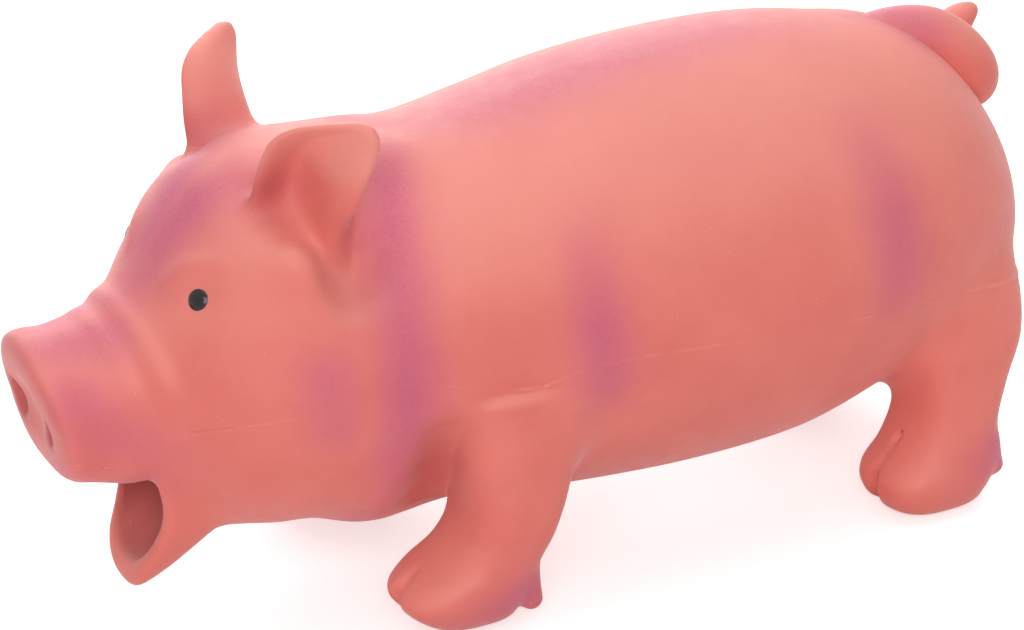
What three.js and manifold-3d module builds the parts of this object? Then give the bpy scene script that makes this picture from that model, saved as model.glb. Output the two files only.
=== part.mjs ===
// Latex pig dog toy: a hollow moulded skin in flexing sections, stuffed with fibre, with a squeeze sounder.
// Millimetres. +Z is up, the snout points along -X and the toy's left side is -Y. It stands on z = 0.

import * as THREE from "three";
import { mergeVertices } from "three/addons/utils/BufferGeometryUtils.js";
import Module from "manifold-3d";

const wasm = await Module();
wasm.setup();

// Skin
const WALL = 2.4;
const GAP = 0.3;
const NECK_X = -45;

// Oval sections of head and trunk: place along X, centre height, half width, half height
const BODY = [
  [-86, 47, 9, 7],
  [-82, 49.5, 17, 14],
  [-77, 51.2, 25, 22.6],
  [-71, 52, 29.8, 30],
  [-63, 53, 32.8, 34.6],
  [-55, 53.2, 34.5, 36],
  [-45, 51.5, 36, 37.4],
  [-36, 50.5, 36.8, 37.4],
  [-24, 50.2, 37.6, 37.2],
  [-9, 51.3, 39.6, 38.4],
  [6, 52.4, 41, 40.4],
  [23, 53, 41.8, 41.6],
  [45, 53.8, 41.4, 41.2],
  [64, 54.8, 38.5, 38.4],
  [80, 54.4, 33.2, 34.2],
  [92, 52.4, 25.6, 26.4],
  [99, 50.6, 16.4, 17.6],
  [102, 50, 8.5, 9.5],
];
const RUMP_END_X = 103;
const RUMP_END_SHARE = 0.4;

// Snout: distance back from the disc, half width, half height
const SNOUT_CENTRE_X = -98;
const SNOUT_CENTRE_Z = 46.3;
const SNOUT_TILT = 15;
const SNOUT_DISC_THICKNESS = 8;
const SNOUT = [
  [-4.2, 5, 4.8],
  [-3, 10, 9.6],
  [-0.4, 14, 13.4],
  [2, 15.4, 14.7],
  [5, 15, 14.2],
  [10, 15.2, 13.8],
  [15, 16.4, 14.2],
  [22, 18.4, 15.6],
];
const NOSTRIL_SPREAD = 6.2;
const NOSTRIL_DROP = 1;
const NOSTRIL_WIDTH = 4.2;
const NOSTRIL_HEIGHT = 6.4;
const NOSTRIL_DEPTH = 4;

// Mouth and lower jaw: distance along the jaw from its hinge, half width, depth below, height of the rim
const JAW_HINGE_X = -66;
const JAW_HINGE_Z = 26;
const JAW_ROOT_RADIUS = 8;
const JAW_HALF_WIDTH = 13;
const JAW_DROP = 41;
const JAW_RIM_Z = 28;
const THROAT_SLOPE = 8;
const PALATE_Z = 33;
const LIP = 2.6;
const JAW_BOWL_LEAST = 0.65;
const JAW = [
  [-5, 10.5, 6, 6],
  [1, 12.2, 7.6, 9],
  [7, 12.6, 7.4, 13],
  [13, 11.6, 6.4, 10.5],
  [19, 9.4, 5, 8.5],
  [23.5, 6.6, 3.4, 6.5],
  [26.2, 2.8, 1.6, 4.4],
];

// Eyes: lacquered beads set in the face
const EYE_X = -75.6;
const EYE_SPREAD = 17;
const EYE_WIDTH = 4.2;
const EYE_HEIGHT = 4.8;
const EYE_THICKNESS = 2.4;
const EYE_SINK = 0.4;

// Ears: distance from the root, offset of the middle line, half width
const EAR_X = -59.5;
const EAR_SPREAD = 21.5;
const EAR_ROOT_RADIUS = 5.2;
const EAR_ROOT_DEPTH = 3;
const EAR_THICKNESS = 4;
const EAR_TIP_THICKNESS = 1.8;
const EAR_BOWL = 4.5;
const EAR_FOLD_ANGLE = 15;
const EAR_LENGTH_AXIS = [0.449, 0.421, 0.79];
const EAR_FACE_AXIS = [-0.645, 0.76, -0.085];
const EAR = [
  [1, -0.6, 6.4],
  [6, -1.8, 7.2],
  [10, -3, 7.3],
  [14, -3.7, 7],
  [18, -3.4, 5.8],
  [22, -2.4, 4],
  [25.5, -1.2, 2.2],
  [27.2, -0.6, 0.8],
];

// Legs: height, place along X from the hip, distance from the middle, half length, half width
const LEG_INNER_Y = 10;
const LEG_SWING_ANGLE = 10;
const SOLE_WALL = 3;
const FRONT_HIP = { x: -22, z: 34, radius: 19 };
const FRONT_LEG = [
  [0, -9.5, 29, 10.4, 8],
  [1.2, -9.8, 29, 12.2, 9.6],
  [4, -10, 29, 13.4, 10.8],
  [8, -9.4, 29, 13.4, 11],
  [13, -7.2, 29.4, 12.1, 10.9],
  [22, -3.6, 29.8, 11.7, 11.2],
  [34, -1, 29, 13.2, 12.6],
  [42, -0.2, 27.5, 13.6, 13.4],
  [48, 0, 26, 11, 11],
];
const REAR_HIP = { x: 78, z: 36, radius: 18.5 };
const REAR_LEG = [
  [0, -5.4, 29, 10.4, 8],
  [1.2, -5.4, 29, 12.2, 9.6],
  [4, -5.4, 29, 13.2, 10.8],
  [8, -4.8, 29, 13.2, 11],
  [13, -2.4, 28.7, 12.3, 10.8],
  [23, 0, 26.8, 13, 11.7],
  [34, 0, 23.4, 15.8, 12.6],
  [42, 0, 21, 16, 12.6],
  [49, 0, 19.5, 11, 10],
];
const HOOF_ROW = 2;
const CLEFT_WIDTH = 2.6;
const CLEFT_DEPTH = 5;
const CLEFT_HEIGHT = 9;
const DEWCLAW_RADIUS = 3.2;
const DEWCLAW_STRETCH = 1.2;
const DEWCLAW_SINK = 1.3;
const DEWCLAW_Z = 5;
const DEWCLAW_SPREAD = 5;

// Tail: points along the curl with the radius there
const TAIL_ROOT_X = 78.5;
const TAIL_ROOT_RADIUS = 6.2;
const TAIL_ROOT_DEPTH = 1.6;
const TAIL = [
  [0, 0, 0, 5.2],
  [6, -3.5, 1, 5.6],
  [12, -7.5, -2, 5.6],
  [16, -8, -7, 5.2],
  [18, -3, -10.5, 4.8],
  [19, 3, -8.5, 4.2],
  [18, 6.5, -3.5, 3.2],
  [16.5, 6, 1.8, 1.2],
];

// Flanks: the oval panels that are squeezed
const FLANK_X = 28.5;
const FLANK_Z = 54;
const FLANK_HALF_LENGTH = 24;
const FLANK_HALF_HEIGHT = 19;

// Sounder: a flanged barrel in a collar of the belly, with a reed inside
const SOUNDER_X = FLANK_X;
const BARREL_RADIUS = 9;
const BARREL_WALL = 1.4;
const BARREL_HEIGHT = 24;
const FLANGE_RADIUS = 11.8;
const FLANGE_THICKNESS = 1.4;
const FLANGE_RECESS = 3.4;
const COLLAR_WALL = 4;
const COLLAR_HEIGHT = 5;
const CAP_THICKNESS = 1.6;
const CAP_SLOT_WIDTH = 1.4;
const CAP_SLOT_PITCH = 3.2;
const CAP_SLOTS = 3;
const REED_BASE = 3;
const REED_HEIGHT = 15;
const TROUGH_WIDTH = 5;
const TROUGH_DEPTH = 3.4;
const TONGUE_THICKNESS = 0.4;
const TONGUE_OVERLAP = 1;
const WEDGE_HEIGHT = 4;

// Facets round and along each form
const BODY_SIDES = 24;
const INNER_SIDES = 12;
const SNOUT_SIDES = 14;
const HIP_SIDES = 14;
const LEG_SIDES = 12;
const LEG_INNER_SIDES = 7;
const SMALL_SIDES = 10;
const TAIL_SIDES = 8;
const CLAW_SIDES = 6;
const EYE_SIDES = 8;
const ROUND_SIDES = 24;
const BOWL_RINGS = 5;
const TURN_STEPS = 3;

// Reach of a cut that passes the whole toy, how far other cuts run past a face, and what counts as one point
const FAR = 200;
const OVERCUT = 1;
const SAME_POINT = 1e-5;

// Materials
function material(color, roughness) {
  return new THREE.MeshStandardMaterial({ color, roughness, metalness: 0 });
}
const SKIN = material(0xe07d72, 0.62);
const MOUTH = material(0xc9625f, 0.6);
const LACQUER = material(0x1c1817, 0.12);
const FIBRE = material(0xf3f1ec, 0.95);
const PLASTIC = material(0xe9e6dd, 0.45);
const REED = material(0xd8cfae, 0.4);

// Solids
function solid(geometry) {
  geometry.deleteAttribute("normal");
  geometry.deleteAttribute("uv");
  const merged = mergeVertices(geometry, SAME_POINT);
  const mesh = new wasm.Mesh({
    numProp: 3,
    vertProperties: new Float32Array(merged.attributes.position.array),
    triVerts: new Uint32Array(merged.index.array),
  });
  return new wasm.Manifold(mesh);
}

function meshOf(name, body, look) {
  const { vertProperties, triVerts } = body.getMesh();
  const geometry = new THREE.BufferGeometry();
  geometry.setAttribute("position", new THREE.BufferAttribute(new Float32Array(vertProperties), 3));
  geometry.setIndex(new THREE.BufferAttribute(new Uint32Array(triVerts), 1));
  geometry.computeVertexNormals();
  const mesh = new THREE.Mesh(geometry, look);
  mesh.name = name;
  return mesh;
}

function signedVolume(points, faces) {
  const triple = ([a, b, c]) => points[a].dot(points[b].clone().cross(points[c]));
  return faces.reduce((sum, face) => sum + triple(face), 0) / 6;
}

// Closed skin over a row of rings, each a list of points, with a fan over each end
function loft(rings) {
  const count = rings[0].length;
  const points = rings.flat();
  const faces = [];
  for (let r = 0; r + 1 < rings.length; r++) {
    for (let i = 0; i < count; i++) {
      const j = (i + 1) % count;
      const [a, b] = [r * count + i, r * count + j];
      faces.push([a, b, a + count], [b, b + count, a + count]);
    }
  }
  for (const [r, order] of [[0, -1], [rings.length - 1, 1]]) {
    const middle = rings[r].reduce((sum, p) => sum.add(p), new THREE.Vector3()).divideScalar(count);
    const centre = points.push(middle) - 1;
    for (let i = 0; i < count; i++) {
      const [a, b] = [r * count + i, r * count + ((i + 1) % count)];
      faces.push(order > 0 ? [a, b, centre] : [b, a, centre]);
    }
  }
  const outward = signedVolume(points, faces) > 0;
  const geometry = new THREE.BufferGeometry().setFromPoints(points);
  geometry.setIndex(faces.flatMap((f) => (outward ? f : [f[0], f[2], f[1]])));
  return solid(geometry);
}

function ring(sides, place) {
  return Array.from({ length: sides }, (_, i) => {
    const angle = (2 * Math.PI * i) / sides;
    return place(Math.cos(angle), Math.sin(angle));
  });
}

// Radius of a facetted socket whose flats lie at the given radius
function roomy(radius, sides = ROUND_SIDES) {
  return radius / Math.cos(Math.PI / sides);
}

// Facetted ball, and the socket that lets one turn in it
function ball(radius, centre, scale = [1, 1, 1], sides = SMALL_SIDES) {
  const geometry = new THREE.SphereGeometry(radius, sides, sides / 2);
  return solid(geometry.scale(...scale).translate(...centre));
}

function ballSocket(radius, centre) {
  return ball(roomy(roomy(radius + GAP, SMALL_SIDES), SMALL_SIDES), centre);
}

function box(low, high) {
  const size = high.map((v, i) => v - low[i]);
  const centre = high.map((v, i) => (v + low[i]) / 2);
  return solid(new THREE.BoxGeometry(...size).translate(...centre));
}

// Cylinder lying along Y from y0 to y1
function barY(radius, x, z, y0, y1, sides = ROUND_SIDES) {
  const geometry = new THREE.CylinderGeometry(radius, radius, Math.abs(y1 - y0), sides);
  return solid(geometry.translate(x, (y0 + y1) / 2, z));
}

// Upright cylinder from z0 to z1
function post(radius, x, z0, z1, sides = ROUND_SIDES) {
  const geometry = new THREE.CylinderGeometry(radius, radius, z1 - z0, sides).rotateX(Math.PI / 2);
  return solid(geometry.translate(x, 0, (z0 + z1) / 2));
}

// A moving piece cut back from what it would touch as it turns about its pivot, up to the angle either way
function clearOfTurn(piece, neighbour, pivot, axis, angle) {
  let cut = piece;
  for (let step = -TURN_STEPS; step <= TURN_STEPS; step++) {
    const part = THREE.MathUtils.degToRad((angle * step) / TURN_STEPS);
    const turn = new THREE.Quaternion().setFromAxisAngle(axis, part);
    const place = pivot.clone().sub(pivot.clone().applyQuaternion(turn));
    const moved = new THREE.Matrix4().compose(place, turn, new THREE.Vector3(1, 1, 1));
    cut = cut.subtract(neighbour.transform(moved.elements));
  }
  return cut;
}

// Outline in X and Z pushed along Y from y0 to y1
function prismY(outline, y0, y1) {
  const shape = new THREE.Shape(outline.map(([x, z]) => new THREE.Vector2(x, z)));
  const geometry = new THREE.ExtrudeGeometry(shape, { depth: y1 - y0, bevelEnabled: false });
  return solid(geometry.rotateX(Math.PI / 2).translate(0, y1, 0));
}

// Smooth curve through one column of a table, read at x
function column(rows, x, k) {
  const last = rows.length - 1;
  let i = rows.findIndex((row) => row[0] > x) - 1;
  if (i === -2) i = last - 1;
  i = Math.min(Math.max(i, 0), last - 1);
  const slope = (n) => {
    const [a, b] = [rows[Math.max(n - 1, 0)], rows[Math.min(n + 1, last)]];
    return (b[k] - a[k]) / (b[0] - a[0]);
  };
  const h = rows[i + 1][0] - rows[i][0];
  const t = Math.min(Math.max((x - rows[i][0]) / h, 0), 1);
  const [t2, t3] = [t * t, t * t * t];
  return (
    (2 * t3 - 3 * t2 + 1) * rows[i][k] +
    (t3 - 2 * t2 + t) * h * slope(i) +
    (3 * t2 - 2 * t3) * rows[i + 1][k] +
    (t3 - t2) * h * slope(i + 1)
  );
}

// Oval section of head and trunk at x
function section(x) {
  const [z, w, h] = [1, 2, 3].map((k) => column(BODY, x, k));
  return { z, w, h };
}

// Point and outward normal of the body's surface at x and side distance y, on its upper half
function surface(x, y) {
  const height = (px, py) => {
    const { z, w, h } = section(px);
    return z + h * Math.sqrt(Math.max(1 - (py / w) ** 2, 0));
  };
  const step = 0.5;
  const slopeX = (height(x + step, y) - height(x - step, y)) / (2 * step);
  const slopeY = (height(x, y + step) - height(x, y - step)) / (2 * step);
  const normal = new THREE.Vector3(-slopeX, -slopeY, 1).normalize();
  return { point: new THREE.Vector3(x, y, height(x, y)), normal };
}

// The whole body of head and trunk, its surface moved outwards by grow, or inwards where grow is negative
function bodyForm(grow, sides) {
  const rows = BODY.filter(([, , w, h]) => Math.min(w, h) + grow > WALL);
  const rings = rows.map(([x, z, w, h]) =>
    ring(sides, (c, s) => new THREE.Vector3(x, (w + grow) * c, z + (h + grow) * s)));
  if (grow >= 0) {
    const [, z, w, h] = BODY[BODY.length - 1];
    const [endW, endH] = [RUMP_END_SHARE * w, RUMP_END_SHARE * h];
    rings.push(ring(sides, (c, s) => new THREE.Vector3(RUMP_END_X + grow, endW * c, z + endH * s)));
  }
  return loft(rings);
}

const bodyOuter = bodyForm(0, BODY_SIDES);
const bodyInner = bodyForm(-WALL, INNER_SIDES);
const bodyClear = bodyForm(GAP, BODY_SIDES);
const bodyShell = bodyOuter.subtract(bodyInner);

// Snout, a short tube whose end tips to face forwards and down
const snoutTurn = new THREE.Matrix4().makeRotationY(-THREE.MathUtils.degToRad(SNOUT_TILT));

function onSnout(back, across, up) {
  const point = new THREE.Vector3(back, across, up).applyMatrix4(snoutTurn);
  return point.add(new THREE.Vector3(SNOUT_CENTRE_X, 0, SNOUT_CENTRE_Z));
}

function snoutForm(grow, from) {
  const rows = SNOUT.filter(([back]) => back >= from);
  const rings = rows.map(([back, w, h]) =>
    ring(SNOUT_SIDES, (c, s) => onSnout(back, (w + grow) * c, (h + grow) * s)));
  return loft(rings);
}

function nostril(side) {
  const shape = new THREE.SphereGeometry(1, SMALL_SIDES, SMALL_SIDES / 2);
  shape.scale(NOSTRIL_DEPTH, NOSTRIL_WIDTH / 2, NOSTRIL_HEIGHT / 2).applyMatrix4(snoutTurn);
  return solid(shape.translate(...onSnout(SNOUT[1][0], side * NOSTRIL_SPREAD, -NOSTRIL_DROP)));
}

// Outline of the mouth below a ceiling, with the throat's slanting edge behind it moved back by grow
function mouthOutline(ceiling, grow) {
  const slant = Math.tan(THREE.MathUtils.degToRad(THROAT_SLOPE)) * JAW_HINGE_Z;
  return [
    [JAW_HINGE_X + grow, ceiling],
    [-FAR, ceiling],
    [-FAR, 0],
    [JAW_HINGE_X - slant + grow, 0],
    [JAW_HINGE_X + grow, JAW_HINGE_Z],
  ];
}

// Room that the jaw and mouth take out of the head, grown by grow
function mouthRoom(grow) {
  const half = JAW_HALF_WIDTH + grow;
  const socket = barY(roomy(JAW_ROOT_RADIUS + GAP) + grow, JAW_HINGE_X, JAW_HINGE_Z, -half, half);
  return prismY(mouthOutline(PALATE_Z + grow, grow), -half, half).add(socket);
}

// Lower jaw, a scoop whose round root turns in the head
function lowerJaw() {
  const drop = THREE.MathUtils.degToRad(JAW_DROP);
  const along = new THREE.Vector3(-Math.cos(drop), 0, -Math.sin(drop));
  const up = new THREE.Vector3(-Math.sin(drop), 0, Math.cos(drop));
  const root = new THREE.Vector3(JAW_HINGE_X, 0, JAW_HINGE_Z);
  const at = (s, y, n) => root.clone().addScaledVector(along, s).addScaledVector(up, n).setY(y);
  const form = loft(JAW.map(([s, w, below, above]) =>
    ring(LEG_SIDES, (c, n) => at(s, w * c, n > 0 ? above * n : below * n))));
  const reach = JAW[JAW.length - 1][0] - LIP;
  const bowl = Array.from({ length: BOWL_RINGS }, (_, i) => {
    const s = JAW_ROOT_RADIUS + ((reach - JAW_ROOT_RADIUS) * i) / (BOWL_RINGS - 1);
    const [w, below] = [1, 2].map((k) => Math.max(column(JAW, s, k) - LIP, JAW_BOWL_LEAST));
    return ring(SMALL_SIDES, (c, n) => at(s, w * c, n > 0 ? FAR * n : below * n));
  });
  const hollow = loft(bowl);
  const half = JAW_HALF_WIDTH - GAP;
  const front = prismY(mouthOutline(JAW_RIM_Z, -GAP), -half, half);
  const round = barY(JAW_ROOT_RADIUS, JAW_HINGE_X, JAW_HINGE_Z, -half, half);
  return form.subtract(hollow).intersect(front.add(round));
}

// Eye bead, an oval button that lies on the face with its normal
function eyeForm(side, grow) {
  const { point, normal } = surface(EYE_X, side * EYE_SPREAD);
  const shape = new THREE.SphereGeometry(1, EYE_SIDES, EYE_SIDES);
  shape.scale(EYE_WIDTH / 2 + grow, EYE_HEIGHT / 2 + grow, EYE_THICKNESS / 2 + grow);
  const turn = new THREE.Quaternion().setFromUnitVectors(new THREE.Vector3(0, 0, 1), normal);
  return solid(shape.applyQuaternion(turn).translate(...point.addScaledVector(normal, -EYE_SINK)));
}

// Ear
function earRoot(side) {
  const { point, normal } = surface(EAR_X, side * EAR_SPREAD);
  return point.addScaledVector(normal, -EAR_ROOT_DEPTH);
}

function earForm(side) {
  const mirror = ([x, y, z]) => new THREE.Vector3(x, side * y, z).normalize();
  const along = mirror(EAR_LENGTH_AXIS);
  const face = mirror(EAR_FACE_AXIS);
  face.addScaledVector(along, -face.dot(along)).normalize();
  const across = new THREE.Vector3().crossVectors(face, along).multiplyScalar(side);
  const root = earRoot(side);
  const rings = EAR.map(([s, middle, half], i) => {
    const t = i / (EAR.length - 1);
    const thick = THREE.MathUtils.lerp(EAR_THICKNESS, EAR_TIP_THICKNESS, t);
    const bowl = EAR_BOWL * Math.sin(Math.PI * t);
    return ring(SMALL_SIDES, (c, n) => root.clone()
      .addScaledVector(along, s)
      .addScaledVector(across, middle + half * c)
      .addScaledVector(face, (thick * n + bowl * (c * c - n * n)) / 2));
  });
  const knob = ball(EAR_ROOT_RADIUS, root.toArray());
  return clearOfTurn(loft(rings), bodyClear, root, across, EAR_FOLD_ANGLE).add(knob);
}

// Tail
function tailRoot() {
  const { point, normal } = surface(TAIL_ROOT_X, 0);
  return point.addScaledVector(normal, -TAIL_ROOT_DEPTH);
}

function tailForm() {
  const root = tailRoot();
  const curve = new THREE.CatmullRomCurve3(TAIL.map(([x, y, z]) => new THREE.Vector3(x, y, z).add(root)));
  const spans = TAIL.length - 1;
  const steps = 2 * spans;
  const frames = curve.computeFrenetFrames(steps, false);
  const rings = [];
  for (let i = 0; i <= steps; i++) {
    const t = i / steps;
    const k = Math.min(Math.floor(t * spans), spans - 1);
    const radius = THREE.MathUtils.lerp(TAIL[k][3], TAIL[k + 1][3], t * spans - k);
    const centre = curve.getPoint(t);
    rings.push(ring(TAIL_SIDES, (c, s) => centre.clone()
      .addScaledVector(frames.normals[i], radius * c)
      .addScaledVector(frames.binormals[i], radius * s)));
  }
  const knob = ball(TAIL_ROOT_RADIUS, root.toArray());
  return loft(rings).subtract(bodyClear).add(knob);
}

// Legs
function legForm(rows, hip, side, inset, sides) {
  const kept = inset ? rows.filter(([z]) => z > SOLE_WALL) : rows;
  const rings = kept.map(([z, x, y, a, b]) =>
    ring(sides, (c, s) => new THREE.Vector3(hip.x + x + (a - inset) * c, side * (y + (b - inset) * s), z)));
  return loft(rings);
}

// Room of a hip, a cylinder across the toy from near the middle outwards, grown by grow
function hipBar(hip, side, grow) {
  const radius = grow > 0 ? roomy(hip.radius + grow, HIP_SIDES) : hip.radius + grow;
  return barY(radius, hip.x, hip.z, side * (LEG_INNER_Y - grow), side * FAR, HIP_SIDES);
}

// Cleft between the toes, and the two dewclaws behind the hoof
function hoofTrim(rows, hip, side) {
  const [, x, y, half] = rows[HOOF_ROW];
  const toe = hip.x + x - half;
  const heel = hip.x + x + half - DEWCLAW_SINK;
  const cleft = box(
    [toe - CLEFT_DEPTH, side * y - CLEFT_WIDTH / 2, -OVERCUT],
    [toe + CLEFT_DEPTH, side * y + CLEFT_WIDTH / 2, CLEFT_HEIGHT],
  );
  const claws = [-1, 1].map((k) => {
    const centre = [heel, side * y + k * DEWCLAW_SPREAD, DEWCLAW_Z];
    return ball(DEWCLAW_RADIUS, centre, [1, 1, DEWCLAW_STRETCH], CLAW_SIDES);
  });
  return { cleft, claws };
}

function legPiece(rows, hip, side) {
  const { cleft, claws } = hoofTrim(rows, hip, side);
  const cap = bodyOuter.intersect(hipBar(hip, side, -GAP / 2));
  const outer = cap.add(legForm(rows, hip, side, 0, LEG_SIDES)).add(claws[0]).add(claws[1]);
  const inner = bodyInner.add(legForm(rows, hip, side, WALL, LEG_INNER_SIDES));
  const leg = outer.subtract(cleft).subtract(inner);
  const trunk = bodyClear.subtract(hipBar(hip, side, GAP / 2));
  const pivot = new THREE.Vector3(hip.x, 0, hip.z);
  return clearOfTurn(leg, trunk, pivot, new THREE.Vector3(0, 1, 0), LEG_SWING_ANGLE);
}

// Flanks
function flankPrism(side, grow) {
  const outline = ring(ROUND_SIDES, (c, s) => [
    FLANK_X + (FLANK_HALF_LENGTH + grow) * c,
    FLANK_Z + (FLANK_HALF_HEIGHT + grow) * s,
  ]);
  return side < 0 ? prismY(outline, -FAR, -LEG_INNER_Y) : prismY(outline, LEG_INNER_Y, FAR);
}

// Sounder: heights measured from the belly's lowest line there
const belly = section(SOUNDER_X);
const bellyZ = belly.z - belly.h;
const seatZ = bellyZ + FLANGE_RECESS;
const flangeZ = seatZ - GAP - FLANGE_THICKNESS;
const boreRadius = BARREL_RADIUS - BARREL_WALL;
const capRadius = boreRadius - GAP;
const reedZ = flangeZ + CAP_THICKNESS + GAP;
const reedTop = reedZ + REED_BASE + REED_HEIGHT;

function soundBarrel() {
  const top = flangeZ + BARREL_HEIGHT;
  const profile = [
    [boreRadius, flangeZ],
    [FLANGE_RADIUS, flangeZ],
    [FLANGE_RADIUS, flangeZ + FLANGE_THICKNESS],
    [BARREL_RADIUS, flangeZ + FLANGE_THICKNESS],
    [BARREL_RADIUS, top],
    [boreRadius, top],
    [boreRadius, flangeZ],
  ].map(([r, z]) => new THREE.Vector2(r, z));
  const geometry = new THREE.LatheGeometry(profile, ROUND_SIDES).rotateX(Math.PI / 2);
  return solid(geometry.translate(SOUNDER_X, 0, 0));
}

function ventCap() {
  let cap = post(capRadius, SOUNDER_X, flangeZ, flangeZ + CAP_THICKNESS);
  for (let i = 0; i < CAP_SLOTS; i++) {
    const y = (i - (CAP_SLOTS - 1) / 2) * CAP_SLOT_PITCH;
    const half = Math.sqrt(capRadius ** 2 - y * y) - CAP_SLOT_PITCH / 2;
    cap = cap.subtract(box(
      [SOUNDER_X - half, y - CAP_SLOT_WIDTH / 2, flangeZ - OVERCUT],
      [SOUNDER_X + half, y + CAP_SLOT_WIDTH / 2, flangeZ + CAP_THICKNESS + OVERCUT],
    ));
  }
  return cap;
}

// Reed: a round base with a trough on it, a thin tongue over the trough and a wedge that clamps the tongue
function reedBlock() {
  const base = post(capRadius, SOUNDER_X, reedZ, reedZ + REED_BASE);
  const body = post(capRadius, SOUNDER_X, reedZ, reedTop);
  const half = body.intersect(box([SOUNDER_X, -FAR, reedZ], [SOUNDER_X + FAR, FAR, reedTop]));
  const trough = box(
    [SOUNDER_X - OVERCUT, -TROUGH_WIDTH / 2, reedZ - OVERCUT],
    [SOUNDER_X + TROUGH_DEPTH, TROUGH_WIDTH / 2, reedTop - WEDGE_HEIGHT],
  );
  return base.add(half).subtract(trough);
}

function reedTongue() {
  const half = TROUGH_WIDTH / 2 + TONGUE_OVERLAP;
  const face = SOUNDER_X - GAP;
  return box([face - TONGUE_THICKNESS, -half, reedZ + REED_BASE + GAP], [face, half, reedTop]);
}

function reedWedge() {
  const face = SOUNDER_X - 2 * GAP - TONGUE_THICKNESS;
  const block = post(capRadius, SOUNDER_X, reedTop - WEDGE_HEIGHT, reedTop);
  return block.intersect(box([SOUNDER_X - FAR, -FAR, 0], [face, FAR, FAR]));
}

// Fibre filling of the trunk, clear of the hips, the sounder and the tail's root
function fibreFill() {
  const clear = 2 * GAP;
  let fill = bodyForm(-WALL - GAP, INNER_SIDES).subtract(box([-FAR, -FAR, -FAR], [NECK_X, FAR, FAR]));
  for (const side of [-1, 1]) {
    for (const hip of [FRONT_HIP, REAR_HIP]) fill = fill.subtract(hipBar(hip, side, clear));
  }
  const collarTop = bellyZ + WALL + COLLAR_HEIGHT + GAP;
  fill = fill.subtract(post(BARREL_RADIUS + GAP, SOUNDER_X, 0, flangeZ + BARREL_HEIGHT + GAP));
  fill = fill.subtract(post(BARREL_RADIUS + COLLAR_WALL + GAP, SOUNDER_X, 0, collarTop));
  return fill.subtract(ballSocket(TAIL_ROOT_RADIUS, tailRoot().toArray()));
}

// Trunk skin with its hip, flank, tail and sounder openings
function trunkSkin() {
  const collarRadius = BARREL_RADIUS + COLLAR_WALL;
  const collar = post(collarRadius, SOUNDER_X, 0, bellyZ + WALL + COLLAR_HEIGHT).intersect(bodyOuter);
  let skin = bodyShell.subtract(box([-FAR, -FAR, -FAR], [NECK_X, FAR, FAR])).add(collar);
  for (const side of [-1, 1]) {
    for (const hip of [FRONT_HIP, REAR_HIP]) skin = skin.subtract(hipBar(hip, side, GAP / 2));
    skin = skin.subtract(flankPrism(side, GAP));
  }
  skin = skin.subtract(post(BARREL_RADIUS + GAP, SOUNDER_X, 0, belly.z));
  skin = skin.subtract(post(FLANGE_RADIUS + GAP, SOUNDER_X, 0, seatZ));
  return skin.subtract(ballSocket(TAIL_ROOT_RADIUS, tailRoot().toArray()));
}

// Head skin: hollow, with a lined mouth and openings for jaw, ears and eyes
function headSkin() {
  const cut = box([NECK_X - GAP, -FAR, -FAR], [FAR, FAR, FAR]);
  const outer = bodyOuter.add(snoutForm(0, -FAR)).subtract(cut);
  const inner = bodyInner.add(snoutForm(-WALL, SNOUT_DISC_THICKNESS));
  const lining = mouthRoom(WALL).intersect(outer);
  let skin = outer.subtract(inner).add(lining).subtract(mouthRoom(0));
  for (const side of [-1, 1]) {
    skin = skin.subtract(nostril(side)).subtract(eyeForm(side, GAP));
    skin = skin.subtract(ballSocket(EAR_ROOT_RADIUS, earRoot(side).toArray()));
  }
  return skin;
}

const pig = new THREE.Group();
pig.add(meshOf("trunk_skin", trunkSkin(), SKIN));
pig.add(meshOf("head_skin", headSkin(), SKIN));
pig.add(meshOf("lower_jaw", lowerJaw(), MOUTH));
for (const [word, side] of [["left", -1], ["right", 1]]) {
  pig.add(meshOf(`${word}_flank`, bodyShell.intersect(flankPrism(side, 0)), SKIN));
  pig.add(meshOf(`${word}_ear`, earForm(side), SKIN));
  pig.add(meshOf(`${word}_eye`, eyeForm(side, 0), LACQUER));
  pig.add(meshOf(`front_${word}_leg`, legPiece(FRONT_LEG, FRONT_HIP, side), SKIN));
  pig.add(meshOf(`rear_${word}_leg`, legPiece(REAR_LEG, REAR_HIP, side), SKIN));
}
pig.add(meshOf("tail", tailForm(), SKIN));
pig.add(meshOf("fibre_fill", fibreFill(), FIBRE));
pig.add(meshOf("sound_barrel", soundBarrel(), PLASTIC));
pig.add(meshOf("vent_cap", ventCap(), PLASTIC));
pig.add(meshOf("reed_block", reedBlock(), PLASTIC));
pig.add(meshOf("reed_tongue", reedTongue(), REED));
pig.add(meshOf("reed_wedge", reedWedge(), PLASTIC));

// The origin lies under the middle of the toy's length
const extent = new THREE.Box3().setFromObject(pig);
pig.position.x = -(extent.min.x + extent.max.x) / 2;

export default pig;
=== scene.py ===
"""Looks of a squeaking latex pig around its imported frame: skin, eyes, wadding, finishes and studio."""
import math

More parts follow.
